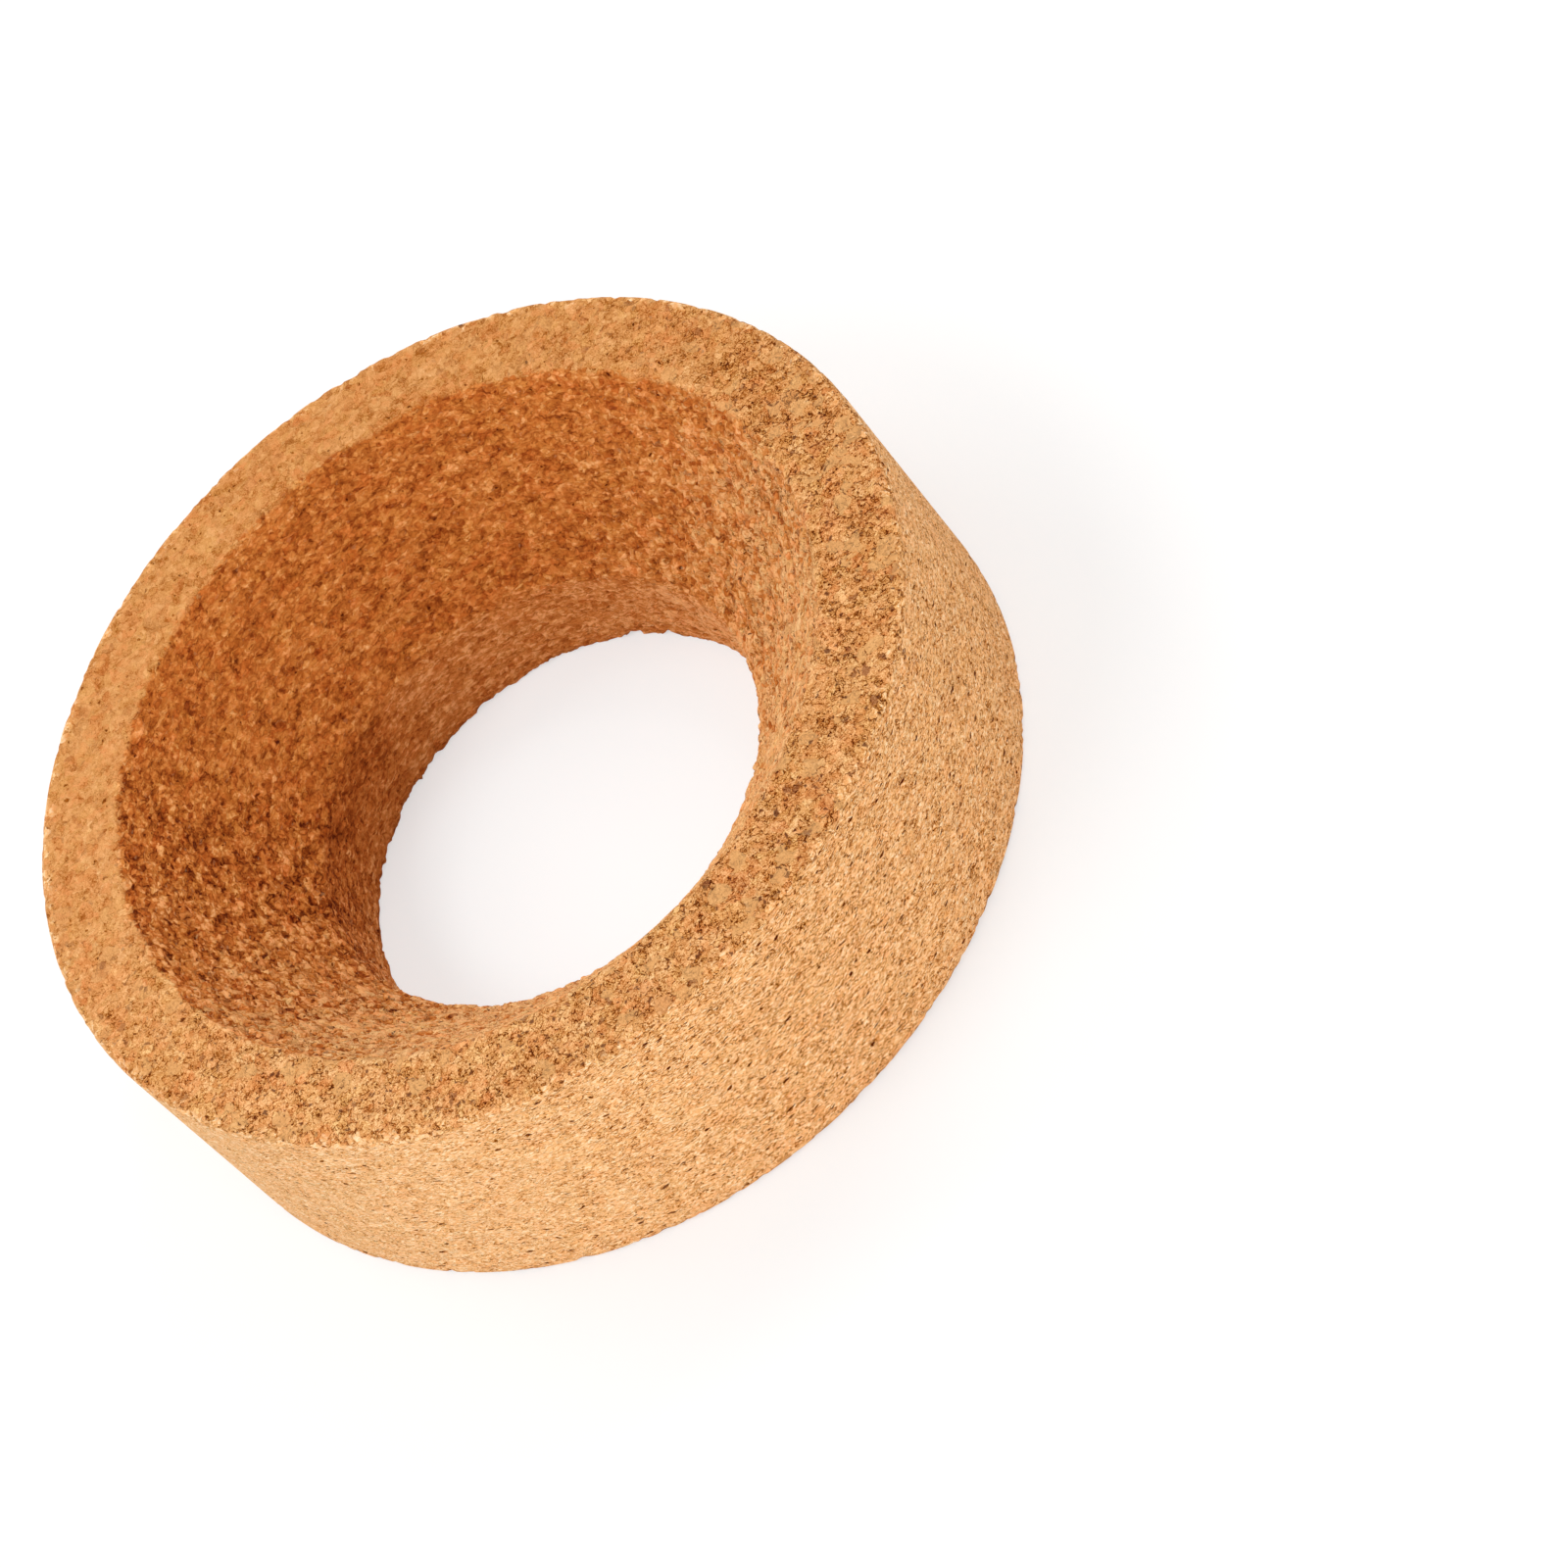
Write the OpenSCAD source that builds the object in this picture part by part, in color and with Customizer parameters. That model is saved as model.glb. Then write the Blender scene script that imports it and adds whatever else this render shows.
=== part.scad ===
// Cork ring: the turned cork support that holds a round-bottomed flask upright on the bench.
// It stands on the plane z = 0, and Z is its own axis. A flask's bulb rests in the cone, and its
// lowest part hangs into the straight hole below, clear of the bench.

/* [Ring] */
// Outside diameter
outer_d = 110; // [92:1:180]
// Height, from the bench face to the rim face
height = 32; // [24:1:60]

/* [Seat] */
// Diameter of the seat's mouth, where the cone meets the rim face
mouth_d = 89; // [70:1:90]
// Diameter of the straight hole below the seat
bore_d = 56; // [30:1:68]
// Height of the straight hole, from the bench face up to the foot of the cone
bore_h = 13.5; // [5:0.5:20]

/* [Edges] */
// Radius on both edges of the outer wall
outer_edge_r = 0.8; // [0.2:0.1:3]
// Radius between the rim face and the seat
mouth_edge_r = 0.8; // [0.2:0.1:3]
// Radius between the seat and the hole
throat_edge_r = 1; // [0.2:0.1:3]
// Radius between the hole and the bench face
bore_edge_r = 0.6; // [0.2:0.1:3]

/* [Hidden] */
$fn = 160;
// Straight steps along each rounded edge
edge_steps = 6;
// The largest share of a side that one rounded edge may take
side_share = 0.45;

// The section's sharp corners, anticlockwise: distance from the axis, height, edge radius
corners = [
    [bore_d / 2, 0, bore_edge_r],
    [outer_d / 2, 0, outer_edge_r],
    [outer_d / 2, height, outer_edge_r],
    [mouth_d / 2, height, mouth_edge_r],
    [bore_d / 2, bore_h, throat_edge_r]
];

function corner(i) = corners[(i + len(corners)) % len(corners)];
function place(i) = [corner(i)[0], corner(i)[1]];
// The side that runs from this corner to the next, and the angle that it faces
function side(i) = place(i + 1) - place(i);
function facing(i) = atan2(-side(i)[0], side(i)[1]);
// How far the outline turns at this corner
function turn(i) = (facing(i) - facing(i - 1) + 360) % 360;
function towards(angle) = [cos(angle), sin(angle)];

// An edge keeps its radius unless a side beside it is too short to carry it
function edge_r(i) =
    let (shorter = min(norm(side(i - 1)), norm(side(i))))
    min(corner(i)[2], side_share * shorter / tan(turn(i) / 2));

function edge_centre(i) =
    place(i) - (towards(facing(i - 1)) + towards(facing(i))) * edge_r(i) / (1 + cos(turn(i)));

// Half of the ring's section: straight sides, with an arc at each corner
module section() {
    polygon([
        for (i = [0 : len(corners) - 1], step = [0 : edge_steps])
            edge_centre(i) + edge_r(i) * towards(facing(i - 1) + turn(i) * step / edge_steps)
    ]);
}

module cork_ring() {
    color([0.85, 0.61, 0.37]) rotate_extrude() section();
}

cork_ring();
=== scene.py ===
import math

import bpy
import numpy as np
from mathutils import Euler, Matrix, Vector, noise


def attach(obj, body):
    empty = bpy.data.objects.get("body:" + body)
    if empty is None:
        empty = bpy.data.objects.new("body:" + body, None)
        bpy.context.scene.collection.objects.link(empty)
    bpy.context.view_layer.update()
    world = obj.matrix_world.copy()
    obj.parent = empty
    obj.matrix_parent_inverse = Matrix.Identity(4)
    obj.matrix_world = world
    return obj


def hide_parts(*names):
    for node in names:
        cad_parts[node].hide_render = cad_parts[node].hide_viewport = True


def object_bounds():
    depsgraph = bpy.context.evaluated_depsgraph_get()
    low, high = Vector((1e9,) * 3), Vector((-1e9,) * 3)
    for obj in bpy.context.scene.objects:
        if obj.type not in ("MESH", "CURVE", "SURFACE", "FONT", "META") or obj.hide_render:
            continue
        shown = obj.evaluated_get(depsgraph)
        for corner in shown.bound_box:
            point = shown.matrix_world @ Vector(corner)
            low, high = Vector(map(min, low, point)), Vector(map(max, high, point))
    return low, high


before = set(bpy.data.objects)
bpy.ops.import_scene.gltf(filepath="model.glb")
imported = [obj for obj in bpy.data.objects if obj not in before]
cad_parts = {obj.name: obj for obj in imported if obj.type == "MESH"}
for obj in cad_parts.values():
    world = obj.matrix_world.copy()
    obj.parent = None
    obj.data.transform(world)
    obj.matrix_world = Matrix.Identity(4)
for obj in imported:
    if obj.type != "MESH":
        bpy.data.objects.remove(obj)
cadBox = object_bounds()
scene = bpy.context.scene
mm = 0.001


def hexToLinear(hexColour):
    # sRGB hex to the linear RGBA that a shader socket takes
    channels = [int(hexColour[i:i + 2], 16) / 255 for i in (1, 3, 5)]
    return [c / 12.92 if c <= 0.04045 else ((c + 0.055) / 1.055) ** 2.4 for c in channels] + [1]


def addNode(tree, kind, inputs=None, ramp=None, output=0, **settings):
    # Adds a shader node with its settings, values and links, and gives back one output socket
    node = tree.nodes.new("ShaderNode" + kind)
    for name, value in settings.items():
        setattr(node, name, value)
    for name, value in (inputs or {}).items():
        if isinstance(value, bpy.types.NodeSocket):
            tree.links.new(value, node.inputs[name])
        else:
            node.inputs[name].default_value = value
    if ramp:
        stops = node.color_ramp.elements
        while len(stops) < len(ramp):
            stops.new(1)
        for stop, (position, hexColour) in zip(stops, ramp):
            stop.position = position
            stop.color = hexToLinear(hexColour)
    return node.outputs[output] if len(node.outputs) else node


# The cork ring. Lengths are in mm, and sides are in degrees round from the front.
corkRing = {
    "node": "cork_ring",
    "slot": "cork",
    "seed": 7,                 # keeps the grain the same each time the script runs
    "roundSteps": 536,         # vertices round the axis
    "shownStep": 0.49,         # spacing along the section where it shows
    "benchStep": 2.6,          # and in the middle of the bench face
    "benchRamp": (2, 0.3),     # how far in from an edge the spacing starts to grow, and how fast
    "traceStep": 0.02,         # spacing at which the section is traced before that
    "turnBlur": 0.9,           # how far the turn at an edge is spread, for when it is cut back
    "turnedBlur": 1.4,         # the same for the border of the turned finish
    "groundBlur": 0.55,        # and of the ground one
    "granule": 1.5,            # usual width of a cork granule
    "squash": 1.9,             # how many times wider than high pressing leaves it
    "bends": ((0.55, 0.9), (1.4, 0.35)),  # make granules irregular: bends per mm, and how far each goes
    "gapWidth": 0.42,          # how much of a granule its sloping rim takes up
    "groundLevels": 0.16,      # how far granules of the seat and hole stand back from each other
    "groundGaps": 0.18,        # depth of the gaps between them
    "groundFine": 0.12,        # depth of the fine unevenness there
    "finePerMm": 1.6,          # and how many of its bumps there are to a mm
    "slicedGaps": 0.03,        # depth of the gaps on the sliced faces and on the turned wall
    "slicedLevels": 0.4,       # how far granules stand back there, as a part of that depth
    "tornDepth": 0.24,         # where a granule has come out of a smooth face
    "tornRim": 0.3,            # how much of that granule its sloping rim takes up
    "tornShare": 0.025,        # and the share of granules that have come out
    "chipSize": 2.4,           # granules that come away along the edges
    "chipSquash": 1.2,         # and how many times wider than high those are
    # How deep the chips go along each edge
    "chips": {"outerBench": 0.05, "outerRim": 0.16, "mouth": 0.22, "throat": 0.25, "holeBench": 0.8},
    "chipReach": 0.8,          # how far from its edge a chip reaches
    "chipLeast": 0.12,         # depth of the shallowest chips, as a part of the deepest
    "chipWhole": 0.3,          # the share of granules that are chipped no deeper than that
    "chipRim": (-0.1, 0.35),   # where in a granule its chip starts, and where it has its full depth
    "chipFine": 0.18,          # fine unevenness in a chip, as a part of its depth
    "leastDepth": 0.02,        # keeps the round ring inside the flats of the CAD model's mesh
    "groundShare": {"seat": 1.0, "throat": 1.0, "bench": 0.92},  # the rest is torn as the wall is; the smaller share at the bench paints the lower hole paler, as painted light from below
    "litSeatSide": 12,            # the side where the seat is painted paler: painted light
    "litSeatShare": 0.62,         # how much of the ground finish's colour gives way there to the paler sliced one, as painted light
    "litSeatRough": 0.35,         # and how much deeper the granules stand out
    "paleSide": -80,           # the side where the wall is painted palest: painted light
    "paleStart": 0.5,          # from how near that side on, 0 being right opposite
    # How hollow each of these makes a spot look, which the colour draws as painted shade: the first two
    # where ground, the next two elsewhere
    "hollows": {"gap": 0.55, "level": 0.45, "slicedGap": 0.3, "torn": 2, "chip": 0.4},
}


def sectionOutline(node):
    # The CAD ring is turned from a convex section, so the distinct (radius, height) pairs of
    # its vertices, sorted by angle about their middle, are that section's outline.
    pairs = {(round(math.hypot(v.co.x, v.co.y), 5), round(v.co.z, 5)) for v in node.data.vertices}
    points = np.array(sorted(pairs))
    around = points - points.mean(0)
    points = points[np.argsort(np.arctan2(around[:, 1], around[:, 0]))]
    start = np.lexsort((points[:, 0], points[:, 1]))[0]
    return np.roll(points, -start, axis=0)


def smoothRound(values, width):
    # Gaussian blur of values along the closed outline; width is in samples
    reach = int(3 * width)
    weights = np.exp(-0.5 * (np.arange(-reach, reach + 1) / width) ** 2)
    wrapped = np.concatenate([values[-reach:], values, values[:reach]])
    return np.convolve(wrapped, weights / weights.sum(), "valid")


def ringStations(look):
    # The section as evenly worked stations: place, way in, and how each one was worked
    outline = sectionOutline(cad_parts[look["node"]])
    closed = np.vstack([outline, outline[:1]])
    sides = np.diff(closed, axis=0)
    lengths = np.hypot(*sides.T)
    travel = np.concatenate([[0], np.cumsum(lengths)])
    fine = look["traceStep"] * mm
    s = np.arange(0, travel[-1], fine)
    radius, height = (np.interp(s, travel, closed[:, k]) for k in (0, 1))

    # The way that the surface faces turns steadily, in degrees, from the bench face round to it again.
    # The seat is the longest side that faces between the way the rim does and the way the hole does.
    bench, wall, rim, inwards, benchAgain = -90, 0, 90, 180, 270
    clear = 10                 # degrees that count as turned away from one of them
    facing = np.degrees(np.unwrap(np.arctan2(-sides[:, 0], sides[:, 1])))
    facing += 360 * (facing[0] < -180)
    facingHere = facing[np.clip(np.searchsorted(travel, s, "right") - 1, 0, len(facing) - 1)]
    slanted = (facing > rim + clear) & (facing < inwards - clear)
    seatFacing = facing[np.argmax(np.where(slanted, lengths, 0))]
    turns = {"outerBench": (bench + wall) / 2, "outerRim": (wall + rim) / 2, "mouth": (rim + seatFacing) / 2,
             "throat": (seatFacing + inwards) / 2, "holeBench": (inwards + benchAgain) / 2}
    edges = {name: s[np.searchsorted(facingHere, angle)] for name, angle in turns.items()}

    # Ways in are blurred, so that they never cross where a sharp edge is cut back
    angle = np.radians(facingHere)
    wayIn = [smoothRound(-part, look["turnBlur"] * mm / fine) for part in (np.cos(angle), np.sin(angle))]
    seat = (facingHere > 0.5 * (rim + turns["mouth"])) & (facingHere < turns["throat"])
    hole = (facingHere >= turns["throat"]) & (facingHere < turns["holeBench"])
    wallOrHole = (np.abs(facingHere) < turns["outerRim"]) | hole
    turned = smoothRound(wallOrHole * 1.0, look["turnedBlur"] * mm / fine)
    share = look["groundShare"]
    # The ground share falls towards the bench, which paints the lower hole paler: painted light from below
    holeShare = np.interp(height, [0, height[hole].max()], [share["bench"], share["throat"]])
    ground = smoothRound(seat * share["seat"] + hole * holeShare, look["groundBlur"] * mm / fine)
    chip = np.zeros_like(s)
    for name, depth in look["chips"].items():
        away = np.abs(s - edges[name])
        away = np.minimum(away, travel[-1] - away)
        chip = np.maximum(chip, depth * np.exp(-(away / (look["chipReach"] * mm)) ** 2))

    # Steps grow towards the middle of the bench face, which nothing looks at closely
    flat = 0.01 * mm
    underneath = (facingHere < bench + clear) & (height < flat)
    inFromEdge = np.minimum(radius - radius.min(), radius.max() - radius) * underneath
    rampStart, growth = look["benchRamp"]
    step = look["shownStep"] * mm + growth * np.maximum(inFromEdge - rampStart * mm, 0)
    count = np.concatenate([[0], np.cumsum(fine / np.minimum(step, look["benchStep"] * mm))])[:-1]
    total = 2 * round(count[-1] / 2)
    at = np.interp(np.arange(total) * count[-1] / total, count, s)
    return [np.interp(at, s, row) for row in (radius, height, *wayIn, turned, ground, chip)]


def ease(value, low, high):
    # 0 up to low, 1 from high on, and smooth between them
    t = min(max((value - low) / (high - low), 0), 1)
    return t * t * (3 - 2 * t)


def nearSide(turn, side, start):
    # 1 on one side of the ring, falling smoothly away from it; with start at 0 it falls all the way round
    return ease(0.5 + 0.5 * math.cos(turn - side), start, 1)


def granuleAt(point, size, squash):
    # How far inside its granule a point lies, 0 at a boundary, and two numbers of that granule's own,
    # which 17 and 31 only keep unlike each other
    distances, centres = noise.voronoi(Vector((point.x, point.y, point.z * squash)) / size)
    return distances[1] - distances[0], noise.cell(centres[0] * 17), noise.cell(centres[0] * 31)


def reliefAt(point, ground, chip, rough, look):
    # Depth below the smooth CAD surface, and how hollow the spot looks, which the colour draws as painted
    # shade. The point is in mm.
    (broad, broadReach), (narrow, narrowReach) = look["bends"]
    bend = noise.noise_vector(point * broad) * broadReach + noise.noise_vector(point * narrow) * narrowReach
    inside, level, torn = granuleAt(point + bend, look["granule"], look["squash"])
    gap = 1 - ease(inside, 0, look["gapWidth"])
    fine = 0.5 + 0.5 * noise.noise(point * look["finePerMm"])
    groundDepth = look["groundLevels"] * level + look["groundGaps"] * gap + look["groundFine"] * fine
    pulled = ease(inside, 0, look["tornRim"]) * (torn < look["tornShare"]) * look["tornDepth"]
    smoothDepth = look["slicedGaps"] * (gap * fine + look["slicedLevels"] * level) + pulled
    depth = ground * (groundDepth * rough) + (1 - ground) * smoothDepth
    if chip > 0.01:
        insideChip, lost, _ = granuleAt(point + bend, look["chipSize"], look["chipSquash"])
        broken = look["chipLeast"] + (1 - look["chipLeast"]) * ease(lost, look["chipWhole"], 1)
        depth += chip * (broken * ease(insideChip, *look["chipRim"]) + look["chipFine"] * fine)
    hollows = look["hollows"]
    hollow = ground * rough * (hollows["gap"] * gap + hollows["level"] * level)
    hollow += (1 - ground) * (hollows["slicedGap"] * gap * fine + hollows["torn"] * pulled)
    return max(depth, look["leastDepth"]) * mm, min(hollow + hollows["chip"] * chip * fine, 1)


def buildCorkRing(look):
    noise.seed_set(look["seed"])
    stations = ringStations(look)
    rows, columns = len(stations[0]), look["roundSteps"]
    litSeatTurn, paleTurn = (math.radians(look[side] - 90) for side in ("litSeatSide", "paleSide"))
    places = []
    marks = {"turned": [], "ground": [], "hollow": [], "paintedLitSeat": [], "paintedLitSide": [], "pale": []}
    for row, (radius, height, inR, inZ, turned, ground, chip) in enumerate(zip(*stations)):
        for column in range(columns):
            # Every second row is set on by half a step, which keeps the triangles even
            turn = 2 * math.pi * (column + 0.5 * (row % 2)) / columns
            across, along = math.cos(turn), math.sin(turn)
            point = Vector((radius * across, radius * along, height)) / mm
            # Nearness to the side where the seat is painted lit: painted light, where its granules also
            # stand out more
            paintedLitSide = nearSide(turn, litSeatTurn, 0)
            depth, hollow = reliefAt(point, ground, chip, 1 + look["litSeatRough"] * paintedLitSide, look)
            r = radius + inR * depth
            places.append((r * across, r * along, max(height + inZ * depth, 0)))
            marks["turned"].append(turned)
            # On the painted-lit side the seat's colour shifts from the ground finish to the paler sliced
            # one: painted light
            marks["ground"].append(ground * (1 - look["litSeatShare"] * paintedLitSide))
            marks["hollow"].append(hollow)
            marks["paintedLitSeat"].append(ground * paintedLitSide)
            marks["paintedLitSide"].append(paintedLitSide)
            # Nearness to the side where the wall is painted paler: painted light
            marks["pale"].append(nearSide(turn, paleTurn, look["paleStart"]))
    faces = []
    for row in range(rows):
        above = (row + 1) % rows
        for column in range(columns):
            after = (column + 1) % columns
            low, lowNext = row * columns + column, row * columns + after
            high, highNext = above * columns + column, above * columns + after
            if row % 2:
                faces += [(low, lowNext, highNext), (low, highNext, high)]
            else:
                faces += [(low, lowNext, high), (lowNext, highNext, high)]
    mesh = bpy.data.meshes.new("corkRing")
    mesh.from_pydata(places, [], faces)
    mesh.shade_smooth()
    for name, values in marks.items():
        mesh.attributes.new(name, "FLOAT", "POINT").data.foreach_set("value", np.array(values, np.float32))
    ring = bpy.data.objects.new("corkRing", mesh)
    scene.collection.objects.link(ring)
    print(f"cork ring: {rows} stations by {columns}, {len(faces)} triangles")
    return ring


# Pressed cork: granules of ground bark, flattened as the block was pressed. The rim and the bench
# face are sliced, and show the granules cut across: smooth patches, and dark crumbly clusters between
# them. The wall is turned, which tears the fines into pale shreds that run round the ring; its paler colour
# is partly its own and partly painted light. The seat and the hole are ground, so rounded granules stand out
# there, deeper and more orange, partly in their own colour and partly as painted shade within the hollow.
# Sizes are in mm unless the note says otherwise.
pressedCork = {
    "squash": 2.1,             # how many times wider than high pressing leaves a granule
    "combed": 2.2,             # how much longer still turning drags the torn shreds
    "bends": ((0.6, 1.3), (2.4, 0.5)),  # make granules irregular: bends per mm, and how far each goes
    "granule": 2.0,            # the broad granules
    "crumb": 0.85,             # the crushed bark between them
    "flake": 0.5,              # the smallest flakes
    "grit": 0.17,              # torn cell walls, drawn four times their size to show
    "shred": 0.44,             # the same where turning has combed them out
    "mottle": 0.7,             # uneven colour within the granules
    "mottleRoughness": 0.6,    # how much finer unevenness that has, from 0 to 1
    "splitWidth": 0.012,       # width of the thin splits, as a part of the mottle's range
    "cluster": 2.1,            # spacing of the dark crumbly clusters
    "clusterEdge": (0.42, 0.6),  # where that noise begins one, and where it is full
    "seamWidth": 0.11,         # the dark binder between crumbs, drawn with painted shade of the gap as well
    "softSeams": 2.2,          # how many times wider it looks where ground
    "flakeSeams": 0.5,         # and between flakes
    "seamsPerMm": 1.8,         # how often a seam breaks off and starts again
    "seamEdge": (0.47, 0.57),  # where that noise begins a seam, and where it is full
    # Spots: spacing, the share of cells without one, the largest radius and the soft edge, as parts of it
    "pits": (0.85, 0.68, 0.3, 0.06),   # pits, drawn dark as painted shade, and small dark grains
    "dashes": (1.6, 0.6, 0.32, 0.06),  # dark gaps that turning opens, drawn dark as painted shade
    "dashSquash": 1.5,         # how many times wider than high those are
    "calmFrom": 0.7,           # how near the seat's painted-lit side a spot is where the marks start to calm, from 0 to 1
    "calmSide": 0.25,          # how much of the torn marks is left opposite the painted-lit side
    "calmGrit": 0.5,           # and how much of the grit
    "paintedGrainShading": (0.5, 0.4),  # from how near the pale side on the seat's marks are drawn stronger, as painted light and shade of its granules, and how much
    # Painted light and shade in the hole on the pale side: heights in mm, low down and at its top, each with
    # how bright it is painted
    "holeShade": ((2.5, 0.54), (12, -0.65)),
    "holeShadeFull": 0.15,     # how pale the side is where that shows in full
    "finishWander": 0.6,       # how far the border between finishes strays to keep crumbs whole
    "finishEdge": (0.35, 0.65),  # where one finish starts to give way, and where the other is full
    "ramps": {
        "sliced": ("#501400", "#A05816", "#CF8F54", "#E3A76E", "#F9CA93"),
        "turned": ("#5C1E00", "#B86614", "#EAA866", "#FCC286", "#FFE2BA"),
        "ground": ("#561A04", "#944818", "#BE6C2E", "#D88A48", "#F6B478"),
    },
    # Each finish: its tone without any marks, how much of the marks is left where the ring is calmest,
    # and what each layer adds to the tone everywhere and in the dark clusters. Some layers paint light and
    # shade: the lit side of the seat and rim and the wall's pale side are painted lighter, the hole is
    # painted paler with a band of painted shade on the pale side, and hollows are painted darker as shade
    "tone": {
        "sliced": (0.567, 0.75,
                   {"paintedLitSide": 0.19, "paintedLitSeat": 0.3, "pale": 0.08, "granules": 0.16, "crumbs": 0.22,
                    "flakes": 0.21, "grit": 1.25, "seams": -0.44, "flakeSeams": -0.5, "splits": -0.1,
                    "pits": -0.4, "hollow": -0.3},
                   {"crumbs": 0.05, "flakes": 0.1, "grit": 0.2, "seams": -0.1, "splits": -0.1}),
        "turned": (0.74, 0.76,
                   {"pale": 0.13, "crumbs": 0.1, "flakes": 0.26, "shreds": 1.6, "seams": -0.4,
                    "flakeSeams": -0.6, "pits": -0.4, "dashes": -0.85},
                   {"crumbs": 0.1, "seams": -0.1, "pits": -0.2, "hollow": -0.2}),
        "ground": (0.635, 0.8,
                   {"paintedHoleLightAndShade": 0.25, "paintedLitSide": 0.36, "pale": -0.02, "granules": 0.24, "crumbs": 0.42,
                    "flakes": 0.25, "mottle": 0.8, "softSeams": -0.12, "pits": -0.4, "hollow": -0.22},
                   {"crumbs": 0.2, "pits": -0.3}),
    },
    # The same for the height
    "relief": {
        "sliced": ({"crumbs": 0.15, "flakes": 0.2, "grit": 0.3, "seams": -0.35, "pits": -0.4},
                   {"flakes": 0.15, "grit": 0.3, "seams": -0.2, "pits": -0.3}),
        "turned": ({"crumbs": 0.12, "flakes": 0.25, "shreds": 0.5, "seams": -0.3,
                    "flakeSeams": -0.25, "pits": -0.3, "dashes": -0.8},
                   {"seams": -0.1}),
        "ground": ({"crumbs": 0.35, "flakes": 0.2, "mottle": 1.2, "softSeams": -0.3, "pits": -0.4},
                   {"flakes": 0.1}),
    },
    "tints": [(0, "#FFF1E7"), (0.25, "#FFF9F2"), (0.5, "#FFFFFE"), (0.8, "#FFFEF6"), (1, "#FCFBEF")],
    "turnedTint": 0.4,         # how much of the tints is left on the wall
    # Odd ones: which of a cell's numbers picks them, their share, how strongly they show where
    # the face is sliced and where it is ground, and their colour
    "oddOnes": {
        "paleGranules": ("granule", 0, 0.16, 0.7, 0, "#E2A96C"),
        "redGranules": ("granule", 1, 0.04, 0.22, 0, "#CC7040"),
        "barkCrumbs": ("crumb", 1, 0.02, 0.6, 0.4, "#74402A"),
        "barkFlakes": ("flake", 2, 0.05, 0.85, 0.8, "#5E2A16"),
        # Pale flecks on the tops of granules: painted highlights
        "paintedHighlightFlakes": ("flake", 0, 0.05, 0.3, 0.5, "#F0BC86"),
    },
    "turnedOdd": 0.2,          # how much of the odd ones is left on the wall
    "oddEdge": (0.03, 0.1),    # how far inside its cell an odd one starts, and where it is full
    "oddBlend": 0.9,           # the part of them that is as strong as that, and the rest is fainter
    "roughness": 0.88,         # cork is matte: its cut cells scatter what falls on them
    "ior": 1.45,
    "specular": 0.06,          # little is mirrored, as the open cells shade one another
    "reliefDepth": 0.2,        # of the relief that is finer than the mesh
}


def weightedSum(tree, layers, clusters, everywhere, inClusters):
    # Adds up layers by their weights: some everywhere, some only in the dark clusters
    sums = []
    for weights in (everywhere, inClusters):
        total = 0.0
        for name, weight in weights.items():
            total = addNode(tree, "Math", {0: layers[name], 1: weight, 2: total}, operation="MULTIPLY_ADD")
        sums.append(total)
    return addNode(tree, "Math", {0: sums[1], 1: clusters, 2: sums[0]}, operation="MULTIPLY_ADD")


def darkSpots(tree, points, spots):
    # 1 in small spots of all sizes, in the middles of some of the cells
    spacing, without, largest, softEdge = spots
    away = addNode(tree, "TexVoronoi", {"Vector": points, "Scale": 1 / spacing})
    number = addNode(tree, "SeparateColor", {0: away.node.outputs["Color"]})
    size = addNode(tree, "MapRange", {0: number, 1: without, 2: 1, 3: 0, 4: largest})
    inside = addNode(tree, "Math", {0: size, 1: away}, operation="SUBTRACT")
    return addNode(tree, "MapRange", {0: inside, 1: 0, 2: softEdge})


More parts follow.
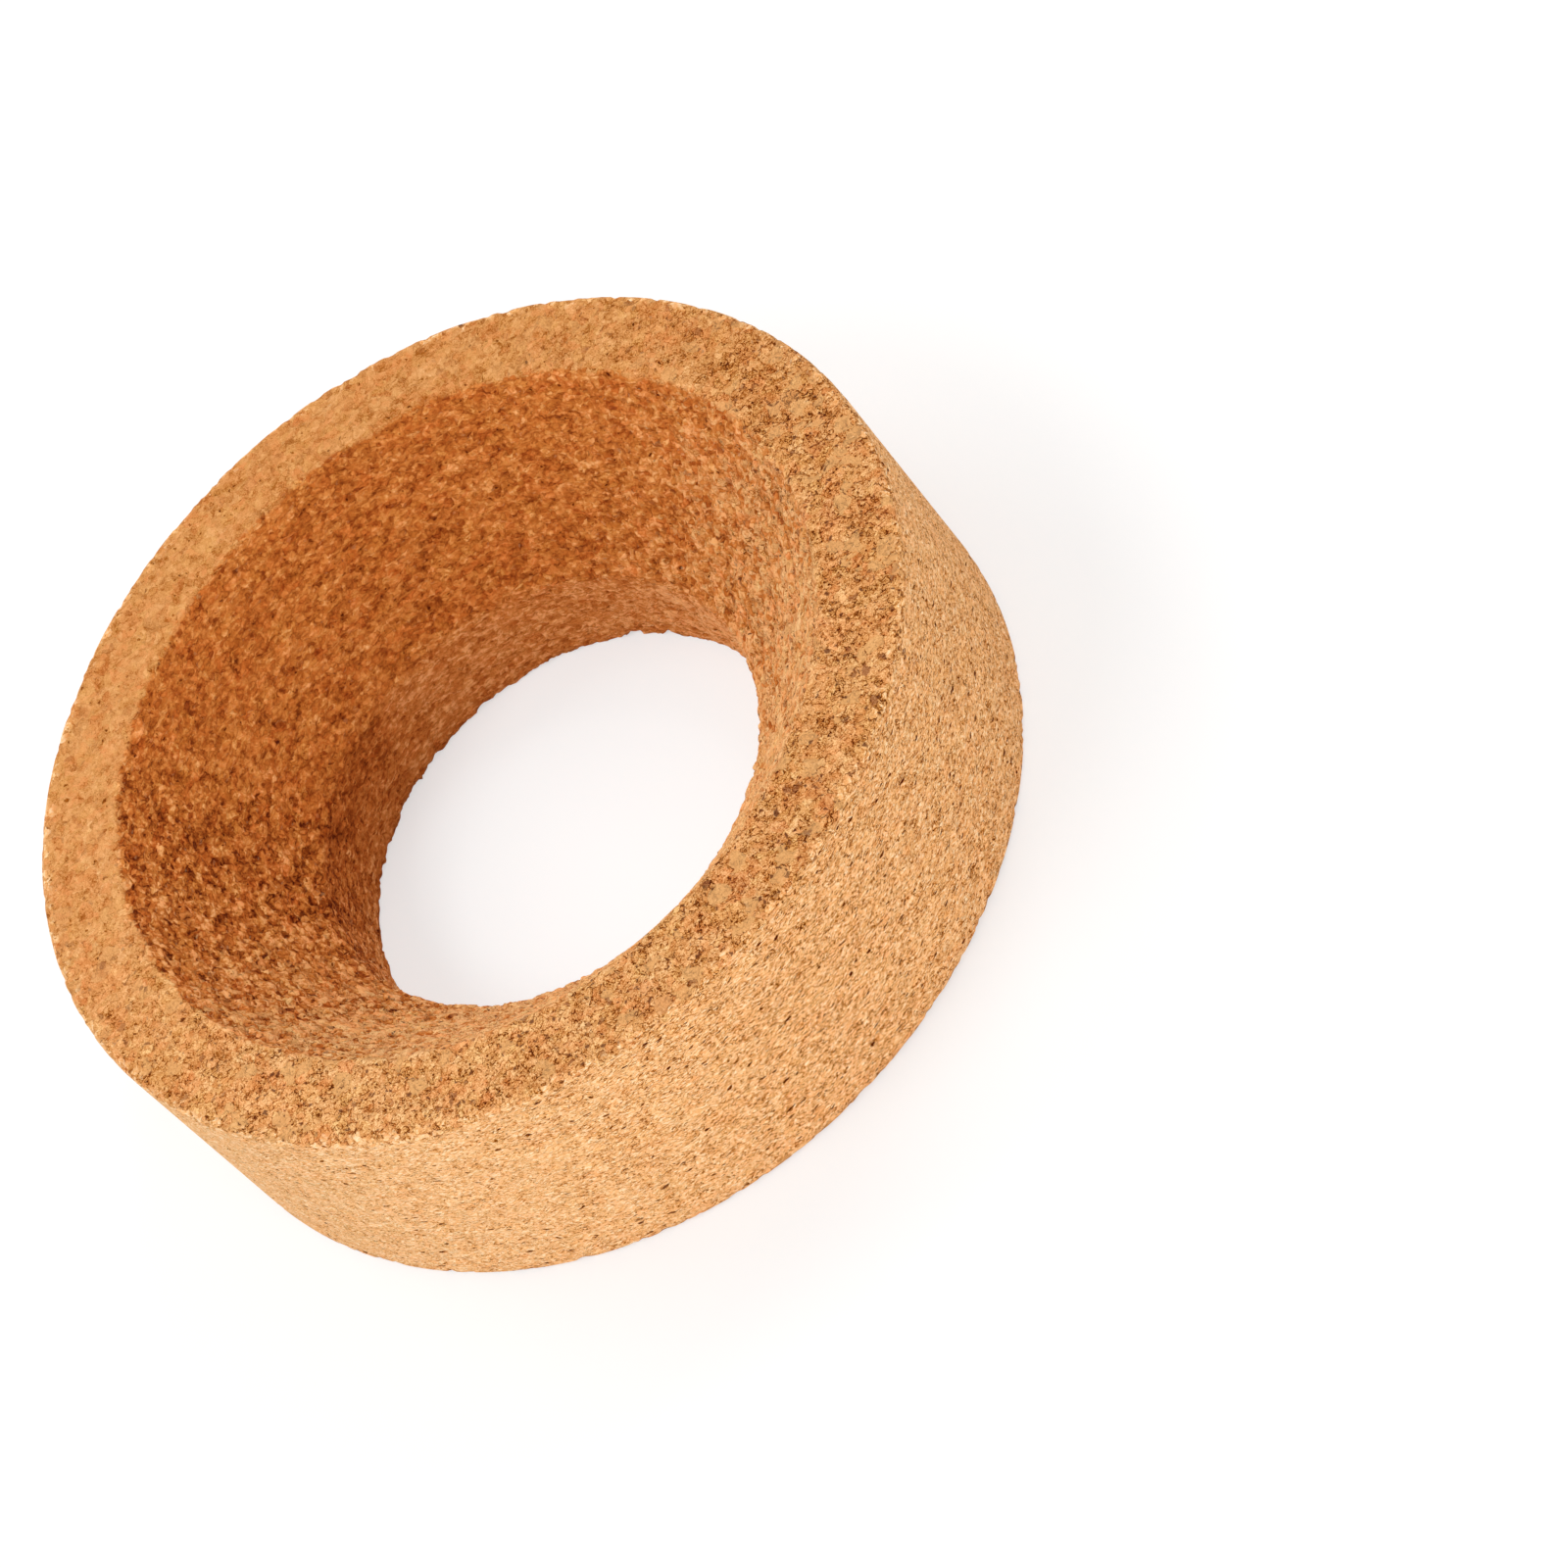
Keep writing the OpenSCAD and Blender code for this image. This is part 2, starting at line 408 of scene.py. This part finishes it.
def pressedCorkMaterial(look):
    material = bpy.data.materials.new("pressedCorkSlicedTurnedGround")
    material.use_nodes = True
    tree = material.node_tree
    tree.nodes.clear()

    # Places in mm, the same flattened as the block was pressed, and those bent as granules bend
    place = addNode(tree, "TexCoord", output="Object")
    place = addNode(tree, "VectorMath", {0: place, 1: (1 / mm, 1 / mm, 1 / mm)}, operation="MULTIPLY")
    pressed = addNode(tree, "VectorMath", {0: place, 1: (1, 1, look["squash"])}, operation="MULTIPLY")
    bent = pressed
    for scale, reach in look["bends"]:
        bend = addNode(tree, "TexNoise", {"Vector": pressed, "Scale": scale, "Detail": 1}, output="Color")
        bend = addNode(tree, "VectorMath", {0: bend, 1: (0.5, 0.5, 0.5)}, operation="SUBTRACT")
        bent = addNode(tree, "VectorMath", {0: bend, 1: (reach, reach, reach), 2: bent},
                       operation="MULTIPLY_ADD")

    # What the mesh knows of each spot: how it was worked, how hollow it is, which is drawn as painted shade,
    # and how near it is to the sides that are painted lighter
    layers = {}
    for name in ("turned", "ground", "hollow", "paintedLitSeat", "paintedLitSide", "pale"):
        layers[name] = addNode(tree, "Attribute", attribute_name=name, output="Fac")

    # Granules, crumbs and flakes, each with numbers of its own, and how near their boundaries are in mm
    own, edge = {}, {}
    for name in ("granule", "crumb", "flake"):
        scale = 1 / look[name]
        cells = addNode(tree, "TexVoronoi", {"Vector": bent, "Scale": scale}, output="Color")
        own[name] = addNode(tree, "SeparateColor", {0: cells}).node.outputs
        cells = addNode(tree, "TexVoronoi", {"Vector": bent, "Scale": scale}, feature="DISTANCE_TO_EDGE")
        edge[name] = addNode(tree, "Math", {0: cells, 1: look[name]}, operation="MULTIPLY")

    # Seams between crumbs are thin, dark and broken: dark binder with painted shade of the gap; where ground
    # they are wider and softer
    for name, cell, times, kind in (("seams", "crumb", 1, "LINEAR"),
                                    ("softSeams", "crumb", look["softSeams"], "SMOOTHSTEP"),
                                    ("flakeSeams", "flake", look["flakeSeams"], "LINEAR")):
        width = times * look["seamWidth"]
        layers[name] = addNode(tree, "MapRange", {0: edge[cell], 1: 0, 2: width, 3: 1, 4: 0},
                               interpolation_type=kind)
    broken = addNode(tree, "TexNoise", {"Vector": pressed, "Scale": look["seamsPerMm"], "Detail": 1})
    broken = addNode(tree, "MapRange", {0: broken, 1: look["seamEdge"][0], 2: look["seamEdge"][1]})
    for name, kept in (("seams", broken), ("flakeSeams", own["crumb"][0])):
        layers[name] = addNode(tree, "Math", {0: layers[name], 1: kept}, operation="MULTIPLY")

    # Splits are thin curved lines, where the mottle's noise crosses its middle
    mottle = addNode(tree, "TexNoise", {"Vector": place, "Scale": 1 / look["mottle"], "Detail": 2,
                                        "Roughness": look["mottleRoughness"]})
    layers["splits"] = addNode(tree, "Math", {0: mottle, 1: 0.5, 2: look["splitWidth"]}, operation="COMPARE")
    layers["pits"] = darkSpots(tree, bent, look["pits"])
    drawn = addNode(tree, "VectorMath", {0: bent, 1: (1, 1, look["dashSquash"])}, operation="MULTIPLY")
    layers["dashes"] = darkSpots(tree, drawn, look["dashes"])
    clusters = addNode(tree, "TexNoise", {"Vector": place, "Scale": 1 / look["cluster"], "Detail": 2})
    clusters = addNode(tree, "MapRange", {0: clusters, 1: look["clusterEdge"][0], 2: look["clusterEdge"][1]})

    # Torn marks show most on the seat's painted-lit side
    calm = addNode(tree, "MapRange", {0: layers["paintedLitSide"], 1: look["calmFrom"], 2: 0})
    tornShow = addNode(tree, "MapRange", {0: calm, 3: 1, 4: look["calmSide"]})
    for name in ("seams", "flakeSeams"):
        layers[name] = addNode(tree, "Math", {0: layers[name], 1: tornShow}, operation="MULTIPLY")
    clusters = addNode(tree, "Math", {0: clusters, 1: tornShow}, operation="MULTIPLY")

    # The hole is painted paler than the seat, as painted light from below, and on the pale side a painted
    # shade darkens it to a band under the seat
    (low, lit), (high, dark) = look["holeShade"]
    above = addNode(tree, "SeparateXYZ", {0: place}, output="Z")
    shade = addNode(tree, "MapRange", {0: above, 1: low, 2: high, 3: lit, 4: dark})
    shaded = addNode(tree, "MapRange", {0: layers["pale"], 1: 0, 2: look["holeShadeFull"]})
    shade = addNode(tree, "Mix", {0: shaded, 2: 1, 3: shade}, data_type="FLOAT")
    layers["paintedHoleLightAndShade"] = addNode(tree, "Math", {0: layers["turned"], 1: shade}, operation="MULTIPLY")

    # Layers that lighten as often as they darken
    grit = addNode(tree, "TexNoise", {"Vector": pressed, "Scale": 1 / look["grit"], "Detail": 1})
    combed = addNode(tree, "VectorMath", {0: pressed, 1: (1, 1, look["combed"])}, operation="MULTIPLY")
    shreds = addNode(tree, "TexNoise", {"Vector": combed, "Scale": 1 / look["shred"], "Detail": 2})
    both = {"granules": own["granule"][0], "crumbs": own["crumb"][1], "flakes": own["flake"][1],
            "mottle": mottle, "grit": grit, "shreds": shreds}
    for name, raw in both.items():
        layers[name] = addNode(tree, "Math", {0: raw, 1: 0.5}, operation="SUBTRACT")
    gritShow = addNode(tree, "MapRange", {0: calm, 3: 1, 4: look["calmGrit"]})
    layers["grit"] = addNode(tree, "Math", {0: layers["grit"], 1: gritShow}, operation="MULTIPLY")

    # Where one finish meets another, whole crumbs belong to one or the other
    reach = look["finishWander"]
    wander = addNode(tree, "Math", {0: own["crumb"][2], 1: reach, 2: -reach / 2}, operation="MULTIPLY_ADD")
    start, full = look["finishEdge"]
    shares = {}
    for finish in ("turned", "ground"):
        share = addNode(tree, "Math", {0: layers[finish], 1: wander}, operation="ADD")
        shares[finish] = addNode(tree, "MapRange", {0: share, 1: start, 2: full})

    # Each finish has a height, and a tone that picks a colour from its ramp
    colour, height = None, None
    for finish in ("sliced", "turned", "ground"):
        unmarked, left, *weights = look["tone"][finish]
        tone = weightedSum(tree, layers, clusters, *weights)
        # On the wall the marks fade towards the pale side, as painted flat light there
        calmest = layers["pale"] if finish == "turned" else calm
        shown = addNode(tree, "MapRange", {0: calmest, 3: 1, 4: left})
        # On the pale side the seat's marks are drawn stronger: painted light and shade of granules at a
        # grazing light
        if finish == "ground":
            fromPale, more = look["paintedGrainShading"]
            grainShading = addNode(tree, "MapRange", {0: layers["pale"], 1: fromPale, 2: 1, 3: 0, 4: more})
            shown = addNode(tree, "Math", {0: shown, 1: grainShading}, operation="ADD")
        tone = addNode(tree, "Math", {0: tone, 1: shown, 2: unmarked}, operation="MULTIPLY_ADD")
        colours = look["ramps"][finish]
        stops = [(k / (len(colours) - 1), hexColour) for k, hexColour in enumerate(colours)]
        finishColour = addNode(tree, "ValToRGB", {0: tone}, ramp=stops)
        finishHeight = weightedSum(tree, layers, clusters, *look["relief"][finish])
        if colour is None:
            colour, height = finishColour, finishHeight
            continue
        share = shares[finish]
        colour = addNode(tree, "Mix", {0: share, 6: colour, 7: finishColour}, data_type="RGBA", output=2)
        height = addNode(tree, "Mix", {0: share, 2: height, 3: finishHeight}, data_type="FLOAT")

    # Every granule and crumb leans a little to red or to olive
    lessTurned = {0: shares["turned"], 1: look["turnedTint"] - 1, 2: 1}
    tinted = addNode(tree, "Math", lessTurned, operation="MULTIPLY_ADD")
    for number in (own["granule"][2], own["crumb"][0]):
        tint = addNode(tree, "ValToRGB", {0: number}, ramp=look["tints"])
        colour = addNode(tree, "Mix", {0: tinted, 6: colour, 7: tint}, data_type="RGBA",
                         blend_type="MULTIPLY", output=2)

    # Smooth pale granules, red ones and bits of dark bark show best where the face is sliced; the pale
    # flakes are painted highlights on the tops of granules
    lessTurned = {0: shares["turned"], 1: look["turnedOdd"] - 1, 2: 1}
    notTurned = addNode(tree, "Math", lessTurned, operation="MULTIPLY_ADD")
    notTurned = addNode(tree, "Math", {0: notTurned, 1: tornShow}, operation="MULTIPLY")
    for name, number, part, sliced, ground, hexColour in look["oddOnes"].values():
        chosen = addNode(tree, "MapRange", {0: own[name][number], 1: part, 2: look["oddBlend"] * part})
        within = addNode(tree, "MapRange", {0: edge[name], 1: look["oddEdge"][0], 2: look["oddEdge"][1]})
        strength = addNode(tree, "MapRange", {0: shares["ground"], 3: sliced, 4: ground})
        share = chosen
        for factor in (within, strength, notTurned):
            share = addNode(tree, "Math", {0: share, 1: factor}, operation="MULTIPLY")
        oddColour = hexToLinear(hexColour)
        colour = addNode(tree, "Mix", {0: share, 6: colour, 7: oddColour}, data_type="RGBA", output=2)

    normal = addNode(tree, "Bump", {"Strength": 1, "Distance": look["reliefDepth"] * mm, "Height": height})
    shader = addNode(tree, "BsdfPrincipled", {"Base Color": colour, "Roughness": look["roughness"],
                                              "IOR": look["ior"], "Specular IOR Level": look["specular"],
                                              "Normal": normal})
    addNode(tree, "OutputMaterial", {"Surface": shader})
    print("pressed cork material: done")
    return material


ring = buildCorkRing(corkRing)
ring.data.materials.append(pressedCorkMaterial(pressedCork))
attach(ring, "root")
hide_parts(corkRing["node"])


# A plain white studio: floor, even sky and four broad soft lamps
studio = {
    "floorSize": 1.5,          # metres, and beyond it the backdrop is as white as the lit floor
    "floorColour": "#F0EFED",
    "floorSeen": "#AEAEAE",    # what the camera sees of the floor under the lamps
    "floorLift": 0.58,         # and what it sees added, so that the shadow stays light
    "skyColour": "#FFFFFF",
    "skyStrength": 0.47,
    # Each lamp: watts, width and distance in metres, degrees round from the camera's side, degrees up
    "lamps": {
        "highLeftLamp": (3.6, 0.6, 1.0, -80, 52),
        "frontLamp": (5.2, 0.6, 1.0, 8, 12),
        "backRightLamp": (3.3, 0.6, 1.0, 126, 40),
        "backLeftLamp": (2.5, 0.6, 1.0, -145, 42),
    },
}


def seenDirectly(tree):
    # 1 on rays from the camera, and on those that reach it by a mirror or through glass
    path = addNode(tree, "LightPath").node.outputs
    either = addNode(tree, "Math", {0: path["Is Camera Ray"], 1: path["Is Glossy Ray"]}, operation="MAXIMUM")
    return addNode(tree, "Math", {0: either, 1: path["Is Transmission Ray"]}, operation="MAXIMUM")


def buildStudio(look):
    half = look["floorSize"] / 2
    corners = [(-half, -half, 0), (half, -half, 0), (half, half, 0), (-half, half, 0)]
    mesh = bpy.data.meshes.new("floor")
    mesh.from_pydata(corners, [], [(0, 1, 2, 3)])
    floor = bpy.data.objects.new("floor", mesh)
    floor.location.z = cadBox[0].z
    scene.collection.objects.link(floor)
    material = bpy.data.materials.new("matteWhiteFloor")
    material.use_nodes = True
    tree = material.node_tree
    tree.nodes.clear()
    matte = addNode(tree, "BsdfDiffuse", {"Color": hexToLinear(look["floorColour"])})
    seenMatte = addNode(tree, "BsdfDiffuse", {"Color": hexToLinear(look["floorSeen"])})
    lift = addNode(tree, "Emission", {"Strength": look["floorLift"]})
    lifted = addNode(tree, "AddShader", {0: seenMatte, 1: lift})
    surface = addNode(tree, "MixShader", {0: seenDirectly(tree), 1: matte, 2: lifted})
    addNode(tree, "OutputMaterial", {"Surface": surface})
    mesh.materials.append(material)

    # The sky lights the ring evenly, and the camera sees it as plain white
    world = bpy.data.worlds.new("evenSky")
    scene.world = world
    world.use_nodes = True
    tree = world.node_tree
    tree.nodes.clear()
    skyColour = hexToLinear(look["skyColour"])
    sky = addNode(tree, "Background", {"Color": skyColour, "Strength": look["skyStrength"]})
    backdrop = addNode(tree, "Background", {"Color": skyColour, "Strength": 1})
    surface = addNode(tree, "MixShader", {0: seenDirectly(tree), 1: sky, 2: backdrop})
    addNode(tree, "OutputWorld", {"Surface": surface})

    for name, (watts, width, distance, azimuth, elevation) in look["lamps"].items():
        data = bpy.data.lights.new(name, "AREA")
        data.shape = "DISK"
        data.size = width
        data.energy = watts
        lamp = bpy.data.objects.new(name, data)
        azimuth, elevation = math.radians(azimuth), math.radians(elevation)
        away = Vector((math.sin(azimuth) * math.cos(elevation), -math.cos(azimuth) * math.cos(elevation),
                       math.sin(elevation)))
        lamp.location = away * distance
        lamp.rotation_euler = away.to_track_quat("Z", "Y").to_euler()
        scene.collection.objects.link(lamp)
    print("studio: done")


buildStudio(studio)


# The camera looks down into the ring, rolled as a hand-held camera would be
camera = {
    "lens": 124.9,             # mm, on a 36 mm sensor
    "clip": (0.01, 50),        # metres, the nearest and farthest that it sees
    "aim": (21.1, -27.3, 16),  # mm, a point half way up the ring
    "distance": 599.6,         # mm
    "elevation": 47.96,        # degrees above the bench
    "roll": 41.9,              # degrees
}


def buildCamera(look):
    data = bpy.data.cameras.new("camera")
    data.lens = look["lens"]
    data.clip_start, data.clip_end = look["clip"]
    view = bpy.data.objects.new("camera", data)
    elevation = math.radians(look["elevation"])
    away = Vector((0, -math.cos(elevation), math.sin(elevation)))
    view.location = (Vector(look["aim"]) + away * look["distance"]) * mm
    turn = away.to_track_quat("Z", "Y") @ Euler((0, 0, -math.radians(look["roll"]))).to_quaternion()
    view.rotation_euler = turn.to_euler()
    scene.collection.objects.link(view)
    scene.camera = view
    scene.view_settings.view_transform = "Standard"
    print("camera: done")


buildCamera(camera)
